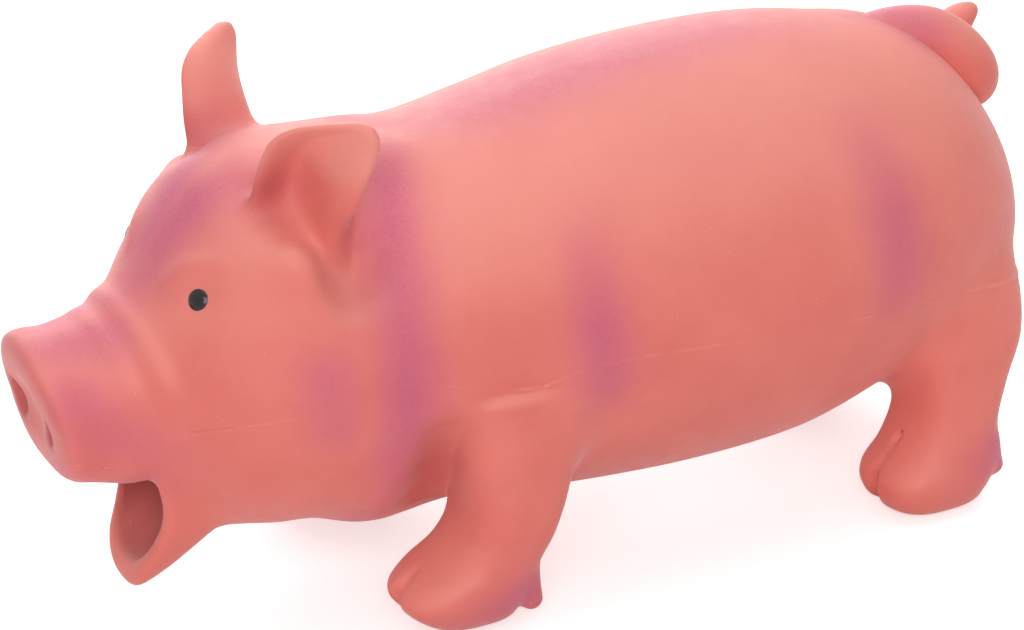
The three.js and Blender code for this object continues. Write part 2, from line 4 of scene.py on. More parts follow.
import bpy
import numpy as np
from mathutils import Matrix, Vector


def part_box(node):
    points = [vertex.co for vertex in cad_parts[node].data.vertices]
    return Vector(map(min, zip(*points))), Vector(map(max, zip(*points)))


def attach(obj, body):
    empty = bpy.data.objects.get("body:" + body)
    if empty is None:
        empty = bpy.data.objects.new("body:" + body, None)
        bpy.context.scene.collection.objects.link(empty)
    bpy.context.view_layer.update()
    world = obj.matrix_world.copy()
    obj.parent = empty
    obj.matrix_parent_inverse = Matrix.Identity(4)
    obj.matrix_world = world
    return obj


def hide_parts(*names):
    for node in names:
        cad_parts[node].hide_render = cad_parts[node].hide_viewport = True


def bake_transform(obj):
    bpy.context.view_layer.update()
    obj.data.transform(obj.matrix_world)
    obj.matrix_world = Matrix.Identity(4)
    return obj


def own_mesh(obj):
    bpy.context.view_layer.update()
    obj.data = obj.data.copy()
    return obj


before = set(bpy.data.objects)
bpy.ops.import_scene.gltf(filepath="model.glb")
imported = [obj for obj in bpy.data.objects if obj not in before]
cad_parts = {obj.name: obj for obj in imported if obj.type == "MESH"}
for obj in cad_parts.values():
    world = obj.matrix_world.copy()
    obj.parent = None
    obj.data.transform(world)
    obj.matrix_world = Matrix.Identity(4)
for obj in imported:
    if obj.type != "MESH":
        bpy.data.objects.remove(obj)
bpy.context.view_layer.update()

# Shapes are written in millimetres, with x = 0 a little behind the frame's own middle
MM = 0.001
RUMP_END = 103
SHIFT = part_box("trunk_skin")[1].x / MM - RUMP_END

# Trunk and head along the toy: place, middle height, half width, half height
BODY = np.array((
    (-88, 46.5, 24, 19), (-82, 49.5, 26.8, 24.3), (-77, 51.2, 30.8, 30.3), (-71, 52, 32.4, 34.3),
    (-63, 53, 33.4, 35.7), (-55, 53.2, 34.5, 36), (-45, 51.5, 36, 37.4), (-36, 50.8, 36.6, 37),
    (-24, 51.4, 37.4, 35.8), (-9, 51.5, 39.6, 38.2), (6, 52.4, 41, 40.4), (23, 53, 41.8, 41.6),
    (45, 53.8, 41.4, 41.2), (64, 55.1, 39.2, 38.5), (80, 54.4, 38.6, 40.3), (92, 51.8, 38.8, 40.2),
    (103, 48.6, 39, 39.6)), float)
FACE_START, FACE_LENGTH = -55, 33
RUMP_START, RUMP_LENGTH = 53.2, 50

# Snout back from its disc: place, half width, half height above and below its axis
SNOUT = np.array((
    (-3, 15.8, 15.6, 11.3), (1.2, 15, 15.2, 13.8), (4, 14.6, 14.2, 15.4), (7, 14.8, 13.7, 16.9),
    (11, 15.4, 13.5, 17.9), (15, 16.4, 13.6, 19.6), (22, 18.4, 15.2, 23), (30, 20, 17, 26)), float)
SNOUT_CENTRE, SNOUT_TILT = (-97.3, 46.2), 15
SNOUT_END, SNOUT_ROUND = 26, 4
# The lower half of the snout grows squarer: how much, down to where, and along where
LIP_SQUARE, LIP_DEPTH, LIP_REACH = 1.1, 12, (-1, 7)
DISC_START, DISC_DOME, DISC_SQUARE = 1.2, 4.8, 4.5
DISC_LEAN = 0.1
# Hollows of the disc and of a nostril: centre and radii
DISC_HOLLOW = ((-11.2, 0, 2.4), (9, 13, 11.6))
NOSTRIL = ((-4.8, 6.9, 1.2), (3.6, 2.2, 4.3))
DISC_ROUND, NOSTRIL_ROUND = 1.6, 1.5

# Legs upwards from the sole: height, middle along and across, half length, half width
FRONT_LEG = np.array((
    (0, -29, 28, 4.6, 3.2), (1.5, -29.8, 28.2, 7.8, 6.4), (4, -31.2, 28.4, 10.4, 9),
    (8, -31.6, 28.8, 12.9, 10.4), (11.5, -29.8, 29, 11.7, 10.6), (14.5, -26.8, 29.2, 9.8, 10.5),
    (18, -24.4, 29.5, 9.2, 10.5), (24, -22.5, 29.7, 9.5, 10.7), (34, -21.8, 28.6, 11.4, 11.8),
    (42, -21.6, 27.4, 13, 12.2), (48, -21.8, 26.8, 13.8, 12.4)), float)
REAR_LEG = np.array((
    (0, 71.4, 29, 7, 6.4), (1.5, 71.2, 29, 9.8, 8.6), (4, 71, 29, 11.6, 10.2),
    (7.5, 71.8, 29, 12.5, 10.8), (12, 74, 28.8, 11, 10.4), (18, 75.9, 27.8, 9.1, 10.3),
    (25, 77.6, 26.2, 10, 10.8), (34, 78.6, 23.4, 13.6, 12.2), (42, 78.4, 21, 14.2, 12.2),
    (51, 77, 18, 11, 10)), float)
LEG_SQUARE = 2.8
# Rows of a leg at the widest place of its foot and at its hip
FOOT_ROW, HIP_ROW = 3, -3
# Hollow of the chest in front of a leg: points with the share of its depth last
ARMPIT = (
    (-37, 37, 46, 0), (-37, 34.5, 41, 0.5), (-36.8, 30, 33, 1), (-36, 25, 25, 0.9), (-34, 20, 20, 0.3))
ARMPIT_DEPTH, ARMPIT_WIDTH = 6, 4.6
# Width of the fillet around the top of a leg: before it, behind it, above it
FRONT_FILLET, REAR_FILLET = (1, 6, 1.2), (5, 6, 6)
# Where the fillet changes: along from the leg's middle, and in height
FILLET_TURN, FILLET_RISE = (-9, 9), (42, 48)
FRONT_TOP, REAR_TOP = 2.4, 6
# Round opening in the belly for the sounder: place along, radius, height of its roof
PORT, PORT_RADIUS, PORT_TOP = 28.5, 12.1, 16.5
PORT_ROUND, SOLE_ROUND = 0.8, 0.8
# Dewclaws from a foot's middle: along and height of their upper and lower end
FRONT_CLAW = ((10, 11.5), (11.8, 4.6))
REAR_CLAW = ((9, 12.6), (11.6, 7.4))
CLAW_APART, CLAW_RADII, CLAW_FILLET = 5.4, (3, 2.2), 1.5
# Cleft between the toes from a foot's middle: along, height, half width
CLEFT = ((-5.4, 15.4, 0.4), (-9.4, 13, 1.1), (-13.2, 9, 1.9), (-13, 4, 2), (-8.6, -0.5, 1.7))
CLEFT_ACROSS, CLEFT_SOFT, CLEFT_ROUND = -1, 0.5, 1
LEGS = (
    (FRONT_LEG, FRONT_CLAW, FRONT_FILLET, FRONT_TOP),
    (REAR_LEG, REAR_CLAW, REAR_FILLET, REAR_TOP),
)

# Ear upwards from its root: place, front and rear edge, depth of the bowl, swell of the back, lean
EAR = np.array((
    (-9, -7, 10, 0, 10, -4.6), (-4, -8.6, 11, 0.6, 10.4, -3.4), (0.5, -10, 11.2, 3.4, 10.4, -2),
    (4, -11.4, 9.8, 6, 9.6, -1), (9, -13, 7.6, 7, 7.8, -0.2), (13.6, -13.6, 5.8, 6, 6, 0.5),
    (18, -12, 4.2, 4, 3.8, 0.6), (22, -8.6, 3, 2, 1.8, 0.4), (24.8, -5.8, 1.9, 0.8, 0.8, 0.1),
    (27.6, -3.2, 0.4, 0.1, 0.3, 0)), float)
EAR_ROOT = np.array((-58.9, 19.6, 78.3))
EAR_ALONG = np.array((0.449, 0.421, 0.79))
EAR_FACE = np.array((-0.645, 0.76, -0.085))
EAR_ACROSS = np.cross(EAR_FACE, EAR_ALONG)
EAR_RIM = 1.3
EAR_MIDDLE, EAR_REACH = 9.5, 18.2
EAR_RIM_ROUND, EAR_EDGE_ROUND, EAR_TIP_ROUND = 1.6, 2.4, 3
# Bowl across the ear, whose front edge is at -1 and rear edge at 1: start, deepest place, end
BOWL = (-1.05, -0.4, 0.8)
BOWL_LIMIT, BACK_POWER = 1.2, 0.8
# Room before the bowl: lowest place along the ear, height over the rim, rounding, softness of its edge
EAR_ROOM, EAR_LID, ROOM_ROUND, ROOM_SOFT = 2.5, 2, 3, 9
EAR_FILLET = 3

# Jaw back from its lip: place, half width, lowest height of the outside
JAW = np.array((
    (-88, 12.6, 8.4), (-84, 12.8, 9), (-80, 13.2, 11), (-75, 13.8, 14.6), (-70, 14.6, 18.6),
    (-62, 16, 21)), float)
LIP_HEIGHT = 33
# Rim of the jaw: height, place
RIM = np.array((
    (6, -87), (10, -86.7), (15, -85.3), (19, -83.4), (23, -82), (27, -81.6), (31, -82.2),
    (35, -83.2)), float)
JAW_WALL, JAW_FLOOR = 2.7, 4.6
JAW_SQUARE, JAW_SLOPE = 2.5, 0.8
LIP_ROUND = 2.2
JAW_END, JAW_OVER, JAW_ROUND = -60, 6, 4
THROAT_PLACE, THROAT_LEAN, THROAT_ROUND = -66, 0.35, 6
MOUTH_TOP, MOUTH_ROUND = 31.8, 1
SNOUT_FILLET = 5
# Fillet of the jaw: at its lip, how much more further back, and where that comes
JAW_FILLET, JAW_FILLET_MORE, JAW_MERGE = 1.2, 2.8, (-83, -77)

# Tail from its root to its tip: place and radius
TAIL = np.array((
    (66, 2, 80, 9), (72, 1.2, 83, 7.4), (78.4, -0.8, 85.9, 6.2), (84, -3.8, 86.1, 6),
    (88.2, -6, 83.4, 6), (91.4, -6.8, 79.8, 5.8), (93.6, -5, 76.6, 5.4), (94.4, -1, 75.6, 5),
    (94.2, 2.6, 78, 4.5), (95.2, 5, 82, 3.9), (97.8, 5.3, 85, 2.8), (100.6, 5, 86.8, 1.4)), float)
TAIL_STEPS, TAIL_SOFT = 40, 1


def spline(at, rows, column):
    """Smooth curve through one column of rows, whose first column is the place along it."""
    places, values = rows[:, 0], rows[:, column]
    slopes = np.gradient(values, places)
    at = np.clip(at, places[0], places[-1])
    i = np.clip(np.searchsorted(places, at, side="right") - 1, 0, len(places) - 2)
    gap = places[i + 1] - places[i]
    t = (at - places[i]) / gap
    rise = (1 + 2 * t) * (1 - t) ** 2 * values[i] + t * t * (3 - 2 * t) * values[i + 1]
    return rise + t * (1 - t) * gap * ((1 - t) * slopes[i] - t * slopes[i + 1])


def join(a, b, soft):
    """Union of two fields with a fillet about as wide as soft."""
    h = np.maximum(soft - np.abs(a - b), 0) / soft
    return np.minimum(a, b) - h * h * soft / 4


def meet(a, b, soft):
    """Overlap of two fields with a rounded edge."""
    return -join(-a, -b, soft)


def step_up(value, low, high):
    """Smooth step from 0 at low to 1 at high."""
    t = np.clip((value - low) / (high - low), 0, 1)
    return t * t * (3 - 2 * t)


def ellipsoid(x, y, z, centre, radii):
    """Rough distance from an ellipsoid."""
    d = [(p - c) / r for p, c, r in zip((x, y, z), centre, radii)]
    k0 = np.sqrt(d[0] ** 2 + d[1] ** 2 + d[2] ** 2)
    k1 = np.sqrt((d[0] / radii[0]) ** 2 + (d[1] / radii[1]) ** 2 + (d[2] / radii[2]) ** 2)
    return k0 * (k0 - 1) / np.maximum(k1, 1e-6)


def snout_frame(x, z):
    """Places along and above the snout's axis, which leans up towards the head."""
    lean = np.radians(SNOUT_TILT)
    dx, dz = x - SNOUT_CENTRE[0], z - SNOUT_CENTRE[1]
    return dx * np.cos(lean) + dz * np.sin(lean), dz * np.cos(lean) - dx * np.sin(lean)


def nearest(x, y, z, p, q):
    """Share of the way from p to q that is nearest, and its squared distance."""
    d = np.subtract(q, p)
    t = np.clip(((x - p[0]) * d[0] + (y - p[1]) * d[1] + (z - p[2]) * d[2]) / (d @ d), 0, 1)
    return t, (x - p[0] - t * d[0]) ** 2 + (y - p[1] - t * d[1]) ** 2 + (z - p[2] - t * d[2]) ** 2


def chain(x, y, z, points, soft):
    """A row of round-ended tapered rods; each point has its own radius last."""
    whole = None
    for (*p, r), (*q, s) in zip(points, points[1:]):
        t, away = nearest(x, y, z, p, q)
        rod = np.sqrt(away) - r - (s - r) * t
        whole = rod if whole is None else join(whole, rod, soft)
    return whole


def spray(x, y, z, points, radius):
    """Soft spot along a path, as strong at each point as the point's last value says."""
    most = 0
    for (*p, v), (*q, w) in zip(points, points[1:]):
        t, away = nearest(x, y, z, p, q)
        most = np.maximum(most, (v + (w - v) * t) * np.exp(-away / radius ** 2))
    return most


def body(x, y, z):
    middle, wide, high = (spline(x, BODY, k) for k in (1, 2, 3))
    cap = np.maximum((FACE_START - x) / FACE_LENGTH, 0) + np.maximum((x - RUMP_START) / RUMP_LENGTH, 0)
    ring = np.sqrt((y / wide) ** 2 + ((z - middle) / high) ** 2 + cap ** 2)
    return (ring - 1) * np.minimum(wide, high)


def trunk(x, y, z):
    """Body with the hollows before its front legs."""
    return body(x, y, z) + ARMPIT_DEPTH * spray(x, np.abs(y), z, ARMPIT, ARMPIT_WIDTH)


def snout(x, y, z):
    a, b = snout_frame(x, z)
    wide, above, below = (spline(a, SNOUT, k) for k in (1, 2, 3))
    high = np.where(b > 0, above, below)
    dome = np.maximum((DISC_START - a + DISC_LEAN * np.minimum(b, 0)) / DISC_DOME, 0)
    square = 2 + LIP_SQUARE * step_up(-b, 0, LIP_DEPTH) * (0.5 + 0.5 * step_up(a, *LIP_REACH))
    ring = (np.abs(y / wide) ** square + np.abs(b / high) ** square) ** (1 / square)
    f = ((ring ** DISC_SQUARE + dome ** DISC_SQUARE) ** (1 / DISC_SQUARE) - 1) * above
    f = meet(f, -ellipsoid(a, y, b, *DISC_HOLLOW), DISC_ROUND)
    f = meet(f, -ellipsoid(a, np.abs(y), b, *NOSTRIL), NOSTRIL_ROUND)
    return meet(f, a - SNOUT_END, SNOUT_ROUND)


def leg(x, y, z, rows, top):
    along, across, length, width = (spline(z, rows, k) for k in (1, 2, 3, 4))
    ring = np.abs((x - along) / length) ** LEG_SQUARE + np.abs((y - across) / width) ** LEG_SQUARE
    f = (ring ** (1 / LEG_SQUARE) - 1) * np.minimum(length, width)
    return meet(f, z - rows[-1, 0], top)


def hoof(x, y, z, rows, claw):
    """The cleft between the toes, to be cut, and the dewclaws behind them, to be joined."""
    along, across = rows[FOOT_ROW, 1:3]
    (top, high), (tip, low) = claw
    cleft = [(along + back, across + CLEFT_ACROSS, up, half) for back, up, half in CLEFT]
    claws = []
    for side in (-1, 1):
        at = across + side * CLAW_APART
        ends = ((along + top, at, high, CLAW_RADII[0]), (along + tip, at, low, CLAW_RADII[1]))
        claws.append(chain(x, y, z, ends, CLEFT_SOFT))
    return chain(x, y, z, cleft, CLEFT_SOFT), np.minimum(*claws)


def ear_frame(x, y, z):
    """Places along the ear, across it and out of its bowl."""
    d = (x - EAR_ROOT[0], y - EAR_ROOT[1], z - EAR_ROOT[2])
    return [d[0] * v[0] + d[1] * v[1] + d[2] * v[2] for v in (EAR_ALONG, EAR_ACROSS, EAR_FACE)]


def ear(x, y, z):
    """The ear, and the room before its bowl, to be cut out of the head."""
    s, c, n = ear_frame(x, y, z)
    front, rear, bowl, back, lean = (spline(s, EAR, k) for k in (1, 2, 3, 4, 5))
    n = n - lean
    half = (rear - front) / 2
    t = np.clip((c - front - half) / half, -BOWL_LIMIT, BOWL_LIMIT)
    round_off = np.maximum(1 - t * t, 0)
    dip = step_up(t, BOWL[0], BOWL[1]) * (1 - step_up(t, BOWL[1], BOWL[2]))
    inner = n - EAR_RIM + bowl * dip
    outer = -n - EAR_RIM - back * round_off ** BACK_POWER
    edge = np.abs(c - front - half) - half
    above = meet(-inner, n - EAR_RIM - EAR_LID, ROOM_ROUND)
    room = meet(above, meet(edge + EAR_RIM, EAR_ROOM - s, ROOM_ROUND), ROOM_ROUND)
    f = meet(meet(inner, outer, EAR_RIM_ROUND), edge, EAR_EDGE_ROUND)
    return meet(f, np.abs(s - EAR_MIDDLE) - EAR_REACH, EAR_TIP_ROUND), room


def jaw(x, y, z, wall=0.0, floor=0.0):
    """Scoop of the jaw, or its inside where a wall and a floor are given."""
    wide, low = (spline(x, JAW, k) for k in (1, 2))
    deep = LIP_HEIGHT - low - floor
    across, down = np.abs(y / (wide - wall)), np.abs((z - LIP_HEIGHT) / deep)
    ring = (across ** JAW_SQUARE + down ** JAW_SQUARE) ** (1 / JAW_SQUARE)
    return (ring - 1) * np.minimum(wide - wall, deep) * JAW_SLOPE


def lower_jaw(x, y, z):
    f = meet(jaw(x, y, z), spline(z, RIM, 1) - x, LIP_ROUND)
    return meet(meet(f, x - JAW_END, JAW_ROUND), z - LIP_HEIGHT - JAW_OVER, JAW_ROUND)


def mouth(x, y, z):
    f = jaw(x, y, z, JAW_WALL, JAW_FLOOR)
    f = meet(f, x - THROAT_PLACE + THROAT_LEAN * (LIP_HEIGHT - z), THROAT_ROUND)
    return meet(f, z - MOUTH_TOP, MOUTH_ROUND)


def shape(x, y, z):
    """The moulded skin in millimetres: below zero inside, above zero outside."""
    side = np.abs(y)
    f = join(trunk(x, y, z), snout(x, y, z), SNOUT_FILLET)
    f = join(f, lower_jaw(x, y, z), JAW_FILLET + JAW_FILLET_MORE * step_up(x, *JAW_MERGE))
    f = meet(f, -mouth(x, y, z), MOUTH_ROUND)
    for rows, claw, (before, behind, above), top in LEGS:
        cleft, claws = hoof(x, side, z, rows, claw)
        fillet = before + (behind - before) * step_up(x - rows[-1, 1], *FILLET_TURN)
        fillet = fillet + (above - fillet) * step_up(z, *FILLET_RISE)
        f = join(f, leg(x, side, z, rows, top), fillet)
        f = meet(join(f, claws, CLAW_FILLET), -cleft, CLEFT_ROUND)
    leaf, room = ear(x, side, z)
    f = join(meet(f, -room, ROOM_SOFT), leaf, EAR_FILLET)
    port = np.maximum(np.sqrt((x - PORT) ** 2 + y ** 2) - PORT_RADIUS, z - PORT_TOP)
    return meet(meet(f, -port, PORT_ROUND), -z, SOLE_ROUND)


def tail(x, y, z):
    marks = np.arange(len(TAIL))
    rows = np.column_stack([marks, TAIL])
    at = np.linspace(0, marks[-1], TAIL_STEPS)
    curve = np.column_stack([spline(at, rows, k) for k in range(1, 5)])
    return chain(x, y, z, curve.tolist(), TAIL_SOFT)


# Mould seam along the side: place, height, and height of its bead
SEAM = np.array((
    (-93, 40, 0), (-86, 42.5, 0.03), (-80, 45.4, 0.07), (-73, 48.4, 0.13), (-64, 50.4, 0.08),
    (-55, 50.9, 0.07), (-46, 51.2, 0.04), (-39, 52.6, 0.1), (-31, 50.6, 0.13), (-20, 49.2, 0.14),
    (-11, 50.8, 0.13), (-1, 51.5, 0.14), (11, 51.2, 0.13), (24, 50.4, 0.1), (36, 49.8, 0.09),
    (46, 49.5, 0.18), (64, 47.6, 0.18), (84, 45, 0.19), (103, 43.4, 0.14)), float)
SEAM_WIDTH, SEAM_FADE = 0.4, (3, 6)
# Across the seam: place of its bead, place of the groove above it and the groove's share of the height
SEAM_BEAD, SEAM_GROOVE, SEAM_GROOVE_SHARE = -0.3, 0.4, 0.6
# Unevenness along the seam: least height, sway, and the rates of its two waves
SEAM_EVEN, SEAM_SWAY, SEAM_RATE, SEAM_DRIFT, SEAM_DRIFT_RATE = 0.7, 0.3, 0.7, 2, 0.31

# Airbrushed patches on one side: points with the share of tint last, radius, depth of the hollow there
PATCHES = (
    (((-84, 0, 64, 0.5), (-77, 2, 75, 0.8), (-71, 4, 81.5, 0.9), (-60, 9, 87, 0.4)), 8, 0),
    (((-97, 4, 60.5, 0.7), (-90, 6, 61.5, 0.7), (-86, 0, 64, 0.3)), 7, 0),
    (((-97, 13, 53, 0.6), (-92, 15, 46, 0.5), (-83, 15, 41, 0.3)), 6.5, 0),
    (((-98, 8, 40, 0.5), (-90, 8, 35, 0.5), (-80, 12, 36, 0.3)), 5, 0),
    (((-59, 32.2, 66, 0.0), (-58.4, 33.6, 57, 0.55), (-57, 33.5, 48, 0.5), (-55, 33, 40, 0.0)), 6, 0.5),
    (((-33, 0, 88, 0.2), (-39, 17, 84, 0.85), (-43, 27, 77, 0.85), (-44, 33, 67, 0.7),
      (-44.4, 36, 52, 0.85), (-45, 34.5, 38, 0.7), (-43, 28, 26, 0.4)), 6.2, 0.9),
    (((-7.5, 27, 79, 0.0), (-8.6, 35, 69, 0.4), (-8.4, 39, 58, 0.8), (-7, 39.4, 48, 0.65),
      (-5, 37, 38, 0.0)), 6, 0.6),
    (((50.5, 23, 87.5, 0.0), (52.4, 33, 78, 0.35), (54.4, 39, 66, 0.7), (55.6, 40.4, 56, 0.65),
      (54.6, 40, 44, 0.0)), 7, 0.6),
    (((-28, 0, 87, 0.4), (-10, 3, 89.5, 0.65), (8, 3, 93, 0.65), (36, 2, 95, 0.55),
      (66, 0, 94.5, 0.1)), 9, 0),
    (((70, -4, 93, 0.7), (76, 0, 92.5, 0.7), (80, 7, 90, 0.6), (84, 12, 86, 0.0)), 6, 0),
    (((-35, 39, 4, 0.3), (-24, 39, 7, 0.8), (-19, 32, 8, 0.8)), 6, 0),
    (((74, 39, 8, 0.2), (82, 37, 12, 0.8), (86, 28, 9, 0.7)), 5.6, 0),
    (((-54, 0, 16, 0.5), (-48, 16, 19, 0.6), (-44, 25, 25, 0.3)), 5, 0),
)
HOLLOW_SPREAD = 1.3

# Soft swells and dents on one side: place, radius, height
SWELLS = (
    ((-61, 26, 77.6), 6, 2), ((-49, 28.6, 77), 5, -5), ((-36, 9, 87.5), 7, 1.1),
    ((-51.8, 30.6, 72.4), 4.6, -2.4), ((-29, 34, 67), 15, 1.2), ((-75.6, 17.4, 69.6), 4.4, -1.2),
    ((-79.4, 13.4, 73.2), 4.4, 1.1),
)
# Painted shade in the folds on one side, laid on as deeper red: points with the share of red last, radius
SHADED_FOLDS = (
    (ARMPIT, 4.4),
    (((-49, 28.6, 77, 1), (-51.8, 30.6, 72.4, 1), (-53.5, 31.5, 69, 0.3)), 5),
    (((-60.8, 16.5, 86.5, 0.8), (-58.8, 18, 90.5, 0.5)), 5.4),
)
# Strength of the painted shade in the folds
FOLD_SHADE = 0.6
# Fine nicks along the seam: from and to along the toy, height above the seam
NICKS = (
    (-100.4, -99.2, -2), (-99, -96.8, 1.7), (-93.6, -92, -0.5), (-79.4, -73.4, 0), (-19.8, -18.2, 0),
    (45.4, 48.4, 0),
)
NICK_DEPTH, NICK_WIDTH, NICK_END = 0.3, 0.28, 0.6

# Folds at the root of the snout: place, height, width
WRINKLES = ((11.4, 0.22, 1.5), (16.4, 0.75, 2.1))
WRINKLE_FADE = (-6, 6)
# Ridge over an eye, which fades outwards
BROW = ((-78, 8.5, 70.7, 0), (-75.9, 10.9, 73.5, 0), (-71.7, 17.1, 75.8, 0), (-69.7, 21.1, 74.7, 0))
BROW_HEIGHT, BROW_WIDTH, BROW_SOFT, BROW_FADE = 0.45, 1.7, 0.01, (13, 22)


def bump(distance, width):
    return np.exp(-((distance / width) ** 2))


def seam_distance(x, z):
    return z - spline(x, SEAM, 1)


def nick_share(x, above, start, end, height):
    along = step_up(x, start, start + NICK_END) * (1 - step_up(x, end - NICK_END, end))
    return along * bump(above - height, NICK_WIDTH)


def detail(x, y, z):
    """How far the skin's finer forms stand inwards of the plain shape."""
    side = np.abs(y)
    a, b = snout_frame(x, z)
    f = np.zeros(np.shape(x))
    for place, height, width in WRINKLES:
        f -= height * bump(a - place, width) * step_up(b, *WRINKLE_FADE)
    brow = bump(chain(x, side, z, BROW, BROW_SOFT), BROW_WIDTH)
    f -= BROW_HEIGHT * brow * (1 - step_up(side, *BROW_FADE))
    for points, radius, depth in PATCHES:
        if depth:
            f += depth * spray(x, side, z, points, radius * HOLLOW_SPREAD)
    above = seam_distance(x, z)
    drift = SEAM_DRIFT * np.sin(SEAM_DRIFT_RATE * x)
    uneven = SEAM_EVEN + SEAM_SWAY * np.sin(SEAM_RATE * x + drift)
    groove = SEAM_GROOVE_SHARE * bump(above - SEAM_GROOVE, SEAM_WIDTH)
    bead = uneven * spline(x, SEAM, 2) * (bump(above - SEAM_BEAD, SEAM_WIDTH) - groove)
    for start, end, height in NICKS:
        bead = bead - NICK_DEPTH * nick_share(x, above, start, end, height)
    f -= bead * step_up(side, *SEAM_FADE)
    for place, radius, height in SWELLS:
        away = (x - place[0]) ** 2 + (side - place[1]) ** 2 + (z - place[2]) ** 2
        f -= height * np.exp(-away / radius ** 2)
    return f


def skin(x, y, z):
    return shape(x, y, z) + detail(x, y, z)


# Meshing: grid step, its share in fine stretches, bend in radians that splits an edge, shortest edge split
SKIN_STEP, FINER, BEND, SHORTEST = 1.2, 0.5, 0.2, 0.34
# Triangles this far from their normals, as a cosine, count as folded over
FOLDED = 0.25
FLATTEST, TINY = 0.05, 1e-12


def gradient(field, points, reach=0.06):
    """Slope of a field at each point, by small steps either way."""
    slopes = np.empty_like(points)
    for k in range(3):
        step = np.zeros(3)
        step[k] = reach
        slopes[:, k] = (field(*(points + step).T) - field(*(points - step).T)) / (2 * reach)
    return slopes


def settle(field, points, rounds=3, most=0.6):
    """Moves points along the slope onto the field's surface, and gives the surface's normals there."""
    for _ in range(rounds):
        slopes = gradient(field, points)
        steep = np.maximum((slopes ** 2).sum(1), FLATTEST)
        move = -slopes * (field(*points.T) / steep)[:, None]
        length = np.linalg.norm(move, axis=1, keepdims=True)
        points = points + move * np.minimum(1, most / np.maximum(length, TINY))
    slopes = gradient(field, points)
    return points, slopes / np.linalg.norm(slopes, axis=1, keepdims=True)


def ruler(low, high, step, fine=()):
    """Grid places from low to high, closer together within the fine stretches."""
    marks = [low]
    while marks[-1] < high:
        close = any(a <= marks[-1] < b for a, b in fine)
        marks.append(marks[-1] + (step * FINER if close else step))
    return np.array(marks)


def net(field, axes):
    """Triangles of a field's surface: one point in each grid cell that it crosses."""
    f = field(*np.meshgrid(*axes, indexing="ij", sparse=True)).astype(np.float32)
    inside = f < 0
    size = np.array(f.shape) - 1
    corners = [(i, j, k) for i in (0, 1) for j in (0, 1) for k in (0, 1)]

    def shifted(values, corner):
        return values[tuple(slice(c, c + n) for c, n in zip(corner, size))]

    count = sum(shifted(inside, c).astype(np.int8) for c in corners)
    cells = np.argwhere((count > 0) & (count < 8))
    number = np.full(size, -1)
    number[tuple(cells.T)] = np.arange(len(cells))
    total, crossings = np.zeros((len(cells), 3)), np.zeros((len(cells), 1))
    for p in corners:
        for axis in range(3):
            if p[axis]:
                continue
            q = tuple(c + (k == axis) for k, c in enumerate(p))
            a, b = f[tuple((cells + p).T)], f[tuple((cells + q).T)]
            crossed = (a < 0) != (b < 0)
            share = np.where(crossed, a / np.where(crossed, a - b, 1), 0)
            place = cells + p + share[:, None] * np.subtract(q, p)
            total += place * crossed[:, None]
            crossings += crossed[:, None]
    marks = (total / crossings).T
    points = np.stack([np.interp(m, np.arange(len(a)), a) for m, a in zip(marks, axes)], 1)
    faces = []
    for axis in range(3):
        u, v = (axis + 1) % 3, (axis + 2) % 3
        here = [slice(1, -1)] * 3
        here[axis] = slice(0, -1)
        there = list(here)
        there[axis] = slice(1, None)
        start = inside[tuple(here)]
        for crossing, turn in ((start & ~inside[tuple(there)], 1), (~start & inside[tuple(there)], -1)):
            at = np.argwhere(crossing) + [0 if k == axis else 1 for k in range(3)]
            ring = []
            for du, dv in ((0, 0), (-1, 0), (-1, -1), (0, -1))[::turn]:
                cell = at.copy()
                cell[:, u] += du
                cell[:, v] += dv
                ring.append(number[tuple(cell.T)])
            faces.append(np.stack(ring, 1))
    quads = np.concatenate(faces)
    short = np.linalg.norm(points[quads[:, 0]] - points[quads[:, 2]], axis=1) \
        < np.linalg.norm(points[quads[:, 1]] - points[quads[:, 3]], axis=1)
    quads[~short] = np.roll(quads[~short], 1, axis=1)
    return points, np.concatenate([quads[:, [0, 1, 2]], quads[:, [0, 2, 3]]])


def refine(points, faces, wanted):
    """Halves the edges that wanted picks, and divides the triangles beside them to suit."""
    ends = np.sort(np.stack([faces, np.roll(faces, -1, 1)], 2), axis=2)
    keys, index = np.unique(ends[..., 0] * len(points) + ends[..., 1], return_inverse=True)
    index = index.reshape(-1, 3)
    edges = np.stack([keys // len(points), keys % len(points)], 1)
    split = wanted(edges)
    halves = np.full(len(edges), -1)
    halves[split] = len(points) + np.arange(split.sum())
    points = np.concatenate([points, points[edges[split]].mean(1)])
    new = halves[index]
    cut = new >= 0
    count = cut.sum(1)
    turn = np.where(count == 1, cut.argmax(1), np.where(count == 2, (~cut).argmax(1) + 1, 0))
    order = (np.arange(3) + turn[:, None]) % 3
    (a, b, c), (ab, bc, ca) = np.take_along_axis(faces, order, 1).T, np.take_along_axis(new, order, 1).T
    parts = [faces[count == 0]]
    plans = {1: ((a, ab, c), (ab, b, c)), 2: ((a, ab, bc), (a, bc, c), (ab, b, bc)),
             3: ((a, ab, ca), (ab, b, bc), (ca, bc, c), (ab, bc, ca))}
    for number, triangles in plans.items():
        parts += [np.stack(t, 1)[count == number] for t in triangles]
    return points, np.concatenate(parts)


def relax(field, points, faces, normals, rounds=6):
    """Evens out the points of triangles that a sharp edge has folded over."""
    for _ in range(rounds):
        a, b, c = points[faces].transpose(1, 0, 2)
        flat = np.cross(b - a, c - a)
        flat /= np.maximum(np.linalg.norm(flat, axis=1, keepdims=True), TINY)
        folded = (flat * normals[faces].mean(1)).sum(1) < FOLDED
        moved = np.unique(faces[folded])
        if not len(moved):
            break
        ends, others = faces.ravel(), np.roll(faces, -1, 1).ravel()
        count = np.bincount(ends, minlength=len(points))
        sums = [np.bincount(ends, points[others, k], len(points)) for k in range(3)]
        points[moved] = (np.stack(sums, 1) / count[:, None])[moved]
        points[moved], normals[moved] = settle(field, points[moved], rounds=2, most=0.15)
    return points, normals


